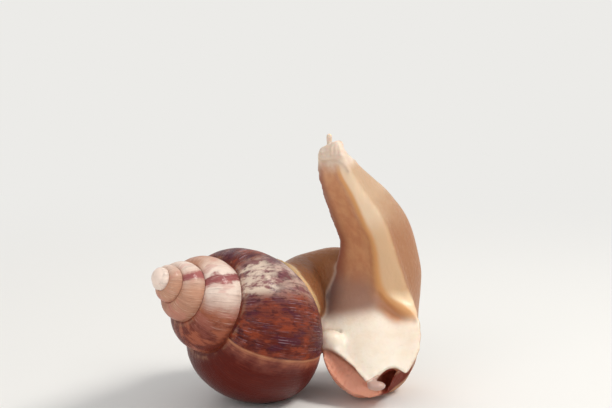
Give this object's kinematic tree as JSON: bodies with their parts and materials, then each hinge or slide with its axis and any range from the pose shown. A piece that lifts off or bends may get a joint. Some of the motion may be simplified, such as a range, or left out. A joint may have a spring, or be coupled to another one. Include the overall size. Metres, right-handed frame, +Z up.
{
  "type": "giant african land snail",
  "caption": "Life-size land snail with a tall pointed spiral shell lying on its side, its pale body rearing upright beside it with the grooved sole turned outwards.",
  "frame": {"origin": "middle of the underside of the box around the whole model, on the floor it rests on", "axes": "+Z up; -Y is the front, the side that the near side of the shell and the sole's lower half face; +X is the side where the body rears up and -X the side where the shell lies, its pointed end forward and to -X"},
  "size_m": [0.0856, 0.0612, 0.0866],
  "materials": {
    "shell": "glossy red-brown shell with darker streaks, paling to cream at its pointed top",
    "mantle": "soft moist cream-brown flesh",
    "skin": "moist cream flesh with fine bumps",
    "sole": "smooth wet peach-brown flesh",
    "feelers": "soft pale grey-beige flesh",
    "eyes": "shiny black"
  },
  "bodies": {
    "root": {"shell": "shell", "mantle_collar": "mantle", "foot_front": "sole", "foot_middle": "sole", "foot_rear": "sole", "tail": "sole", "tail_back": "skin", "trunk": "skin", "neck": "skin", "stalk": "skin", "head": "skin", "upper_tentacle_left": "feelers", "upper_tentacle_right": "feelers", "lower_tentacle_left": "feelers", "lower_tentacle_right": "feelers", "eye_left": "eyes", "eye_right": "eyes"}
  },
  "joints": []
}
